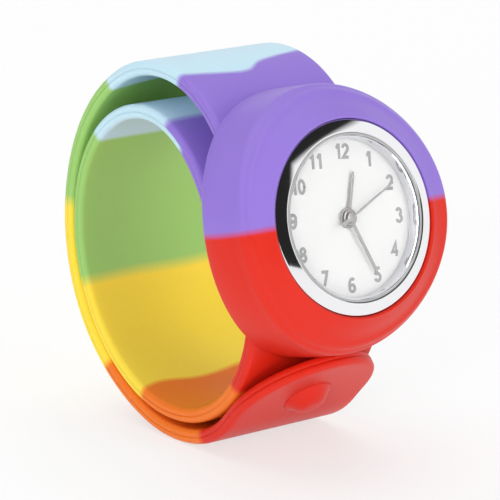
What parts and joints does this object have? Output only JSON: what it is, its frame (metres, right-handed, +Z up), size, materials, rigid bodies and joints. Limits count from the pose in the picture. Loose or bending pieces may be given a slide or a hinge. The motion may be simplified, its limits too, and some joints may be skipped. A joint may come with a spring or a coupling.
{
  "type": "toy slap watch",
  "caption": "Slap-on toy watch: a rainbow silicone band coiled round a sprung steel strip, with a round holder and a pop-out analogue quartz head.",
  "frame": {"origin": "on the floor below the middle of the box round the part, as it stands in the picture", "axes": "+X across the band to the right of someone facing the dial, -Y out of the dial's front, +Z up"},
  "size_m": [0.0408, 0.062, 0.0584],
  "materials": {
    "silicone_purple": "satin moulded silicone",
    "silicone_sky": "satin moulded silicone",
    "silicone_green": "satin moulded silicone",
    "silicone_yellow": "satin moulded silicone",
    "silicone_orange": "satin moulded silicone",
    "silicone_red": "satin moulded silicone",
    "spring_steel": "sprung strip",
    "case_chrome": "polished",
    "crystal_glass": "clear",
    "gasket_nylon": "matt",
    "ring_chrome": "polished",
    "dial_paint": "white lacquer",
    "hand_paint": "grey lacquer",
    "back_steel": "brushed",
    "seal_rubber": "matt",
    "spacer_plastic": "matt",
    "movement_brass": "satin",
    "movement_steel": "satin",
    "coil_copper": "lacquered winding",
    "board_green": "solder mask",
    "cell_steel": "satin",
    "wheel_plastic": "moulded",
    "crown_chrome": "polished"
  },
  "bodies": {
    "holder": {"holder_upper": "silicone_purple", "holder_lower": "silicone_red", "slap_spring": "spring_steel"},
    "outer_1": {"outer_1": "silicone_purple"},
    "outer_2": {"outer_2": "silicone_sky"},
    "outer_3": {"outer_3": "silicone_green"},
    "outer_4": {"outer_4": "silicone_green"},
    "outer_5": {"outer_5": "silicone_green"},
    "outer_6": {"outer_6": "silicone_yellow"},
    "outer_7": {"outer_7": "silicone_yellow"},
    "outer_8": {"outer_8": "silicone_orange"},
    "outer_9": {"outer_9": "silicone_orange"},
    "outer_10": {"outer_10": "silicone_red"},
    "outer_11": {"outer_11": "silicone_red"},
    "inner_1": {"inner_1": "silicone_red"},
    "inner_2": {"inner_2": "silicone_orange"},
    "inner_3": {"inner_3": "silicone_orange"},
    "inner_4": {"inner_4": "silicone_yellow"},
    "inner_5": {"inner_5": "silicone_yellow"},
    "inner_6": {"inner_6": "silicone_green"},
    "inner_7": {"inner_7": "silicone_green"},
    "inner_8": {"inner_8": "silicone_sky"},
    "inner_9": {"inner_9": "silicone_sky"},
    "inner_10": {"inner_10": "silicone_purple"},
    "inner_11": {"inner_11": "silicone_purple"},
    "watch_head": {"watch_case": "case_chrome", "crystal": "crystal_glass", "crystal_gasket": "gasket_nylon", "dial_ring": "ring_chrome", "dial": "dial_paint", "case_back": "back_steel", "back_gasket": "seal_rubber", "movement_ring": "spacer_plastic", "main_plate": "movement_brass", "train_bridge": "movement_brass", "bridge_screws": "movement_steel", "stator": "movement_steel", "coil": "coil_copper", "circuit_board": "board_green", "quartz_can": "movement_steel", "button_cell": "cell_steel", "cell_clip": "movement_steel"},
    "setting_lever": {"setting_lever": "movement_steel"},
    "crown": {"crown": "crown_chrome", "stem": "movement_steel"},
    "second_train": {"second_wheel": "movement_brass", "second_hand": "hand_paint"},
    "third_train": {"third_wheel": "movement_brass"},
    "minute_train": {"centre_wheel": "movement_brass", "minute_hand": "hand_paint"},
    "motion_train": {"minute_wheel": "movement_brass"},
    "hour_train": {"hour_wheel": "movement_brass", "hour_hand": "hand_paint"},
    "intermediate_train": {"intermediate_wheel": "wheel_plastic"},
    "rotor_train": {"rotor": "movement_steel"}
  },
  "joints": [
    {"name": "band_unroll", "type": "hinge", "parent": "holder", "child": "outer_1", "pos_m": [0, -0.00656, 0.05423], "axis": [1, 0, 0], "range_deg": [0, 51.5], "stiffness_Nm_per_rad": 0.04, "deforming": ["slap_spring"]},
    {"name": "outer_fold_2", "type": "hinge", "parent": "outer_1", "child": "outer_2", "pos_m": [0, 0.00209, 0.05805], "axis": [1, 0, 0], "range_deg": [-0.05, 33.55], "stiffness_Nm_per_rad": 0.04},
    {"name": "outer_fold_3", "type": "hinge", "parent": "outer_2", "child": "outer_3", "pos_m": [0, 0.01639, 0.0556], "axis": [1, 0, 0], "range_deg": [-0.05, 29.55], "stiffness_Nm_per_rad": 0.04},
    {"name": "outer_fold_4", "type": "hinge", "parent": "outer_3", "child": "outer_4", "pos_m": [0, 0.02362, 0.0497], "axis": [1, 0, 0], "range_deg": [-0.05, 19.05], "stiffness_Nm_per_rad": 0.04},
    {"name": "outer_fold_5", "type": "hinge", "parent": "outer_4", "child": "outer_5", "pos_m": [0, 0.02854, 0.04176], "axis": [1, 0, 0], "range_deg": [-0.05, 17.55], "stiffness_Nm_per_rad": 0.04},
    {"name": "outer_fold_6", "type": "hinge", "parent": "outer_5", "child": "outer_6", "pos_m": [0, 0.03084, 0.03276], "axis": [1, 0, 0], "range_deg": [-0.05, 21.05], "stiffness_Nm_per_rad": 0.04},
    {"name": "outer_fold_7", "type": "hinge", "parent": "outer_6", "child": "outer_7", "pos_m": [0, 0.02927, 0.01945], "axis": [1, 0, 0], "range_deg": [-0.05, 27.05], "stiffness_Nm_per_rad": 0.04},
    {"name": "outer_fold_8", "type": "hinge", "parent": "outer_7", "child": "outer_8", "pos_m": [0, 0.02182, 0.00828], "axis": [1, 0, 0], "range_deg": [-0.05, 25.55], "stiffness_Nm_per_rad": 0.04},
    {"name": "outer_fold_9", "type": "hinge", "parent": "outer_8", "child": "outer_9", "pos_m": [0, 0.01034, 0.00143], "axis": [1, 0, 0], "range_deg": [-0.05, 28.05], "stiffness_Nm_per_rad": 0.04},
    {"name": "outer_fold_10", "type": "hinge", "parent": "outer_9", "child": "outer_10", "pos_m": [0, -0.0041, 0.00072], "axis": [1, 0, 0], "range_deg": [-0.05, 32.55], "stiffness_Nm_per_rad": 0.04},
    {"name": "outer_fold_11", "type": "hinge", "parent": "outer_10", "child": "outer_11", "pos_m": [0, -0.01151, 0.00495], "axis": [1, 0, 0], "range_deg": [-0.05, 9.05], "stiffness_Nm_per_rad": 0.04},
    {"name": "inner_fold_1", "type": "hinge", "parent": "holder", "child": "inner_1", "pos_m": [0, -0.01664, 0.01583], "axis": [-1, 0, 0], "range_deg": [-0.05, 45.05], "stiffness_Nm_per_rad": 0.04},
    {"name": "inner_fold_2", "type": "hinge", "parent": "inner_1", "child": "inner_2", "pos_m": [0, -0.01398, 0.01128], "axis": [-1, 0, 0], "range_deg": [-0.05, 27.55], "stiffness_Nm_per_rad": 0.04},
    {"name": "inner_fold_3", "type": "hinge", "parent": "inner_2", "child": "inner_3", "pos_m": [0, -0.0017, 0.00355], "axis": [-1, 0, 0], "range_deg": [-0.05, 40.05], "stiffness_Nm_per_rad": 0.04},
    {"name": "inner_fold_4", "type": "hinge", "parent": "inner_3", "child": "inner_4", "pos_m": [0, 0.01364, 0.00565], "axis": [-1, 0, 0], "range_deg": [-0.05, 30.55], "stiffness_Nm_per_rad": 0.04},
    {"name": "inner_fold_5", "type": "hinge", "parent": "inner_4", "child": "inner_5", "pos_m": [0, 0.02178, 0.01208], "axis": [-1, 0, 0], "range_deg": [-0.05, 22.05], "stiffness_Nm_per_rad": 0.04},
    {"name": "inner_fold_6", "type": "hinge", "parent": "inner_5", "child": "inner_6", "pos_m": [0, 0.02692, 0.0211], "axis": [-1, 0, 0], "range_deg": [-0.05, 25.55], "stiffness_Nm_per_rad": 0.04},
    {"name": "inner_fold_7", "type": "hinge", "parent": "inner_6", "child": "inner_7", "pos_m": [0, 0.02791, 0.0345], "axis": [-1, 0, 0], "range_deg": [-0.05, 33.05], "stiffness_Nm_per_rad": 0.04},
    {"name": "inner_fold_8", "type": "hinge", "parent": "inner_7", "child": "inner_8", "pos_m": [0, 0.0214, 0.04633], "axis": [-1, 0, 0], "range_deg": [-0.05, 35.05], "stiffness_Nm_per_rad": 0.04},
    {"name": "inner_fold_9", "type": "hinge", "parent": "inner_8", "child": "inner_9", "pos_m": [0, 0.01196, 0.05098], "axis": [-1, 0, 0], "range_deg": [-0.05, 36.05], "stiffness_Nm_per_rad": 0.04},
    {"name": "inner_fold_10", "type": "hinge", "parent": "inner_9", "child": "inner_10", "pos_m": [0, 0.00154, 0.04918], "axis": [-1, 0, 0], "range_deg": [-0.05, 31.55], "stiffness_Nm_per_rad": 0.04},
    {"name": "inner_fold_11", "type": "hinge", "parent": "inner_10", "child": "inner_11", "pos_m": [0, -0.00478, 0.04362], "axis": [-1, 0, 0], "range_deg": [-0.05, 26.55], "stiffness_Nm_per_rad": 0.04},
    {"name": "head_pop_out", "type": "slide", "parent": "holder", "child": "watch_head", "axis": [0, -0.9673, 0.2538], "range_m": [0, 0.016]},
    {"name": "crown_pull", "type": "slide", "parent": "watch_head", "child": "setting_lever", "axis": [0.9952, -0.0248, -0.0944], "range_m": [0, 0.0006]},
    {"name": "crown_turn", "type": "hinge", "parent": "setting_lever", "child": "crown", "pos_m": [0, -0.02179, 0.03771], "axis": [0.9952, -0.0248, -0.0944], "continuous": true},
    {"name": "second_spin", "type": "hinge", "parent": "watch_head", "child": "second_train", "pos_m": [0, -0.02305, 0.03804], "axis": [0, 0.9673, -0.2538], "continuous": true},
    {"name": "third_spin", "type": "hinge", "parent": "watch_head", "child": "third_train", "pos_m": [-0.00329, -0.0223, 0.03696], "axis": [0, 0.9673, -0.2538], "continuous": true},
    {"name": "minute_spin", "type": "hinge", "parent": "watch_head", "child": "minute_train", "pos_m": [0, -0.02208, 0.03778], "axis": [0, 0.9673, -0.2538], "continuous": true},
    {"name": "motion_spin", "type": "hinge", "parent": "watch_head", "child": "motion_train", "pos_m": [-0.00219, -0.02233, 0.03682], "axis": [0, 0.9673, -0.2538], "continuous": true},
    {"name": "hour_spin", "type": "hinge", "parent": "watch_head", "child": "hour_train", "pos_m": [0, -0.02208, 0.03778], "axis": [0, 0.9673, -0.2538], "continuous": true},
    {"name": "intermediate_spin", "type": "hinge", "parent": "watch_head", "child": "intermediate_train", "pos_m": [0.00151, -0.02128, 0.04083], "axis": [0, 0.9673, -0.2538], "continuous": true},
    {"name": "rotor_spin", "type": "hinge", "parent": "watch_head", "child": "rotor_train", "pos_m": [0.00384, -0.02113, 0.04141], "axis": [0, 0.9673, -0.2538], "continuous": true}
  ],
  "couplings": [
    {"joint": "outer_fold_2", "follows": "band_unroll", "ratio": 0.65048},
    {"joint": "outer_fold_3", "follows": "band_unroll", "ratio": 0.57282},
    {"joint": "outer_fold_4", "follows": "band_unroll", "ratio": 0.36893},
    {"joint": "outer_fold_5", "follows": "band_unroll", "ratio": 0.33981},
    {"joint": "outer_fold_6", "follows": "band_unroll", "ratio": 0.40777},
    {"joint": "outer_fold_7", "follows": "band_unroll", "ratio": 0.52427},
    {"joint": "outer_fold_8", "follows": "band_unroll", "ratio": 0.49515},
    {"joint": "outer_fold_9", "follows": "band_unroll", "ratio": 0.54369},
    {"joint": "outer_fold_10", "follows": "band_unroll", "ratio": 0.63107},
    {"joint": "outer_fold_11", "follows": "band_unroll", "ratio": 0.17476},
    {"joint": "inner_fold_1", "follows": "band_unroll", "ratio": 0.87379},
    {"joint": "inner_fold_2", "follows": "band_unroll", "ratio": 0.53398},
    {"joint": "inner_fold_3", "follows": "band_unroll", "ratio": 0.7767},
    {"joint": "inner_fold_4", "follows": "band_unroll", "ratio": 0.59223},
    {"joint": "inner_fold_5", "follows": "band_unroll", "ratio": 0.42718},
    {"joint": "inner_fold_6", "follows": "band_unroll", "ratio": 0.49515},
    {"joint": "inner_fold_7", "follows": "band_unroll", "ratio": 0.64078},
    {"joint": "inner_fold_8", "follows": "band_unroll", "ratio": 0.67961},
    {"joint": "inner_fold_9", "follows": "band_unroll", "ratio": 0.69903},
    {"joint": "inner_fold_10", "follows": "band_unroll", "ratio": 0.61165},
    {"joint": "inner_fold_11", "follows": "band_unroll", "ratio": 0.51456},
    {"joint": "third_spin", "follows": "second_spin", "ratio": -0.13333},
    {"joint": "minute_spin", "follows": "second_spin", "ratio": 0.016667},
    {"joint": "motion_spin", "follows": "second_spin", "ratio": -0.0055556},
    {"joint": "hour_spin", "follows": "second_spin", "ratio": 0.0013889},
    {"joint": "intermediate_spin", "follows": "second_spin", "ratio": -6},
    {"joint": "rotor_spin", "follows": "second_spin", "ratio": 30}
  ]
}
